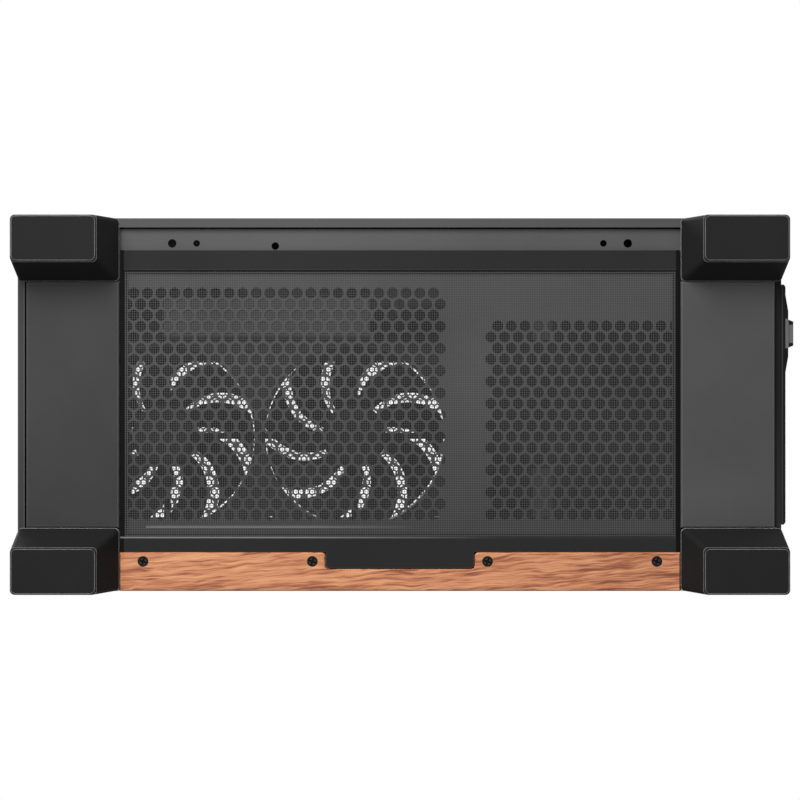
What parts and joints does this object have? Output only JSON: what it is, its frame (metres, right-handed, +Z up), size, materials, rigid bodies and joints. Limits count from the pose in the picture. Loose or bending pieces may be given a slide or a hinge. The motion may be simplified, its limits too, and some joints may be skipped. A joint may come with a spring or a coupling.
{
  "type": "mid tower pc case",
  "caption": "Upright tower computer case on tapered feet, with a wood base strip, glass side, perforated top and front, floor fans behind a drop-out dust filter and tool-free panels.",
  "frame": {"origin": "on the floor under the middle of the case body, in the plane of the feet", "axes": "+X to the steel side panel, -X to the glass side, -Y to the front, +Y to the rear, +Z up"},
  "size_m": [0.234, 0.4872, 0.5],
  "materials": {
    "black_steel": "fine powder coat",
    "black_plastic": "fine moulded texture",
    "walnut_wood": "oiled straight grain",
    "smoked_glass": "smoked tempered glass",
    "rubber": "matt",
    "fan_plastic": "satin moulded",
    "mesh_nylon": "fine woven mesh",
    "screw_metal": "black zinc",
    "brass": "turned",
    "port_metal": "plated"
  },
  "bodies": {
    "chassis": {"floor_pan": "black_steel", "left_sill": "black_steel", "right_sill": "black_steel", "front_frame": "black_steel", "rear_panel": "black_steel", "top_frame": "black_steel", "motherboard_tray": "black_steel", "lower_grommet": "rubber", "upper_grommet": "rubber", "standoffs": "brass", "psu_shroud": "black_steel", "psu_pads": "rubber", "front_left_foot": "black_plastic", "front_right_foot": "black_plastic", "rear_left_foot": "black_plastic", "rear_right_foot": "black_plastic", "front_base_cover": "black_plastic", "rear_base_cover": "black_plastic", "wood_strip": "walnut_wood", "wood_screws": "screw_metal", "front_fan_frame": "fan_plastic", "rear_fan_frame": "fan_plastic", "drive_cage": "black_steel", "slot_cover_1": "black_steel", "slot_cover_2": "black_steel", "slot_cover_3": "black_steel", "slot_cover_4": "black_steel", "slot_cover_5": "black_steel", "slot_cover_6": "black_steel", "slot_cover_7": "black_steel", "slot_screws": "screw_metal", "rear_retainer": "black_plastic", "io_housing": "black_plastic", "usb_a_port_front": "port_metal", "usb_a_port_rear": "port_metal", "usb_c_port": "port_metal", "audio_jack": "black_plastic"},
    "glass_door": {"glass_pane": "smoked_glass", "glass_top_rail": "black_steel", "glass_bottom_rail": "black_steel", "glass_panel_studs": "black_plastic"},
    "steel_side": {"side_panel": "black_steel", "side_panel_studs": "black_plastic"},
    "top_cover": {"top_panel": "black_steel", "top_grille": "black_steel", "top_panel_studs": "black_plastic"},
    "front_cover": {"front_panel_frame": "black_plastic", "front_mesh": "black_steel", "front_panel_studs": "black_plastic"},
    "dust_filter": {"filter_frame": "black_plastic", "filter_mesh": "mesh_nylon"},
    "front_fan": {"front_fan_rotor": "fan_plastic"},
    "rear_fan": {"rear_fan_rotor": "fan_plastic"},
    "drive_sled": {"drive_tray": "black_plastic"},
    "power_key": {"power_button": "black_plastic"},
    "reset_key": {"reset_button": "black_plastic"}
  },
  "joints": [
    {"name": "glass_panel_off", "type": "slide", "parent": "chassis", "child": "glass_door", "axis": [-1, 0, 0], "range_m": [0, 0.12]},
    {"name": "side_panel_off", "type": "slide", "parent": "chassis", "child": "steel_side", "axis": [1, 0, 0], "range_m": [0, 0.12]},
    {"name": "top_panel_off", "type": "slide", "parent": "chassis", "child": "top_cover", "axis": [0, 0, 1], "range_m": [0, 0.08]},
    {"name": "front_panel_off", "type": "slide", "parent": "chassis", "child": "front_cover", "axis": [0, -1, 0], "range_m": [0, 0.1]},
    {"name": "dust_filter_off", "type": "slide", "parent": "chassis", "child": "dust_filter", "axis": [0, 0, -1], "range_m": [0, 0.024]},
    {"name": "front_fan_spin", "type": "hinge", "parent": "chassis", "child": "front_fan", "pos_m": [-0.02, -0.149, 0.0455], "axis": [0, 0, 1], "continuous": true},
    {"name": "rear_fan_spin", "type": "hinge", "parent": "chassis", "child": "rear_fan", "pos_m": [-0.02, -0.029, 0.0455], "axis": [0, 0, 1], "continuous": true},
    {"name": "drive_tray_lift", "type": "slide", "parent": "chassis", "child": "drive_sled", "axis": [0, 0, 1], "range_m": [0, 0.09]},
    {"name": "power_press", "type": "slide", "parent": "chassis", "child": "power_key", "axis": [0, 0, -1], "range_m": [0, 0.0015], "stiffness_N_per_m": 900},
    {"name": "reset_press", "type": "slide", "parent": "chassis", "child": "reset_key", "axis": [0, 0, -1], "range_m": [0, 0.0015], "stiffness_N_per_m": 700}
  ]
}
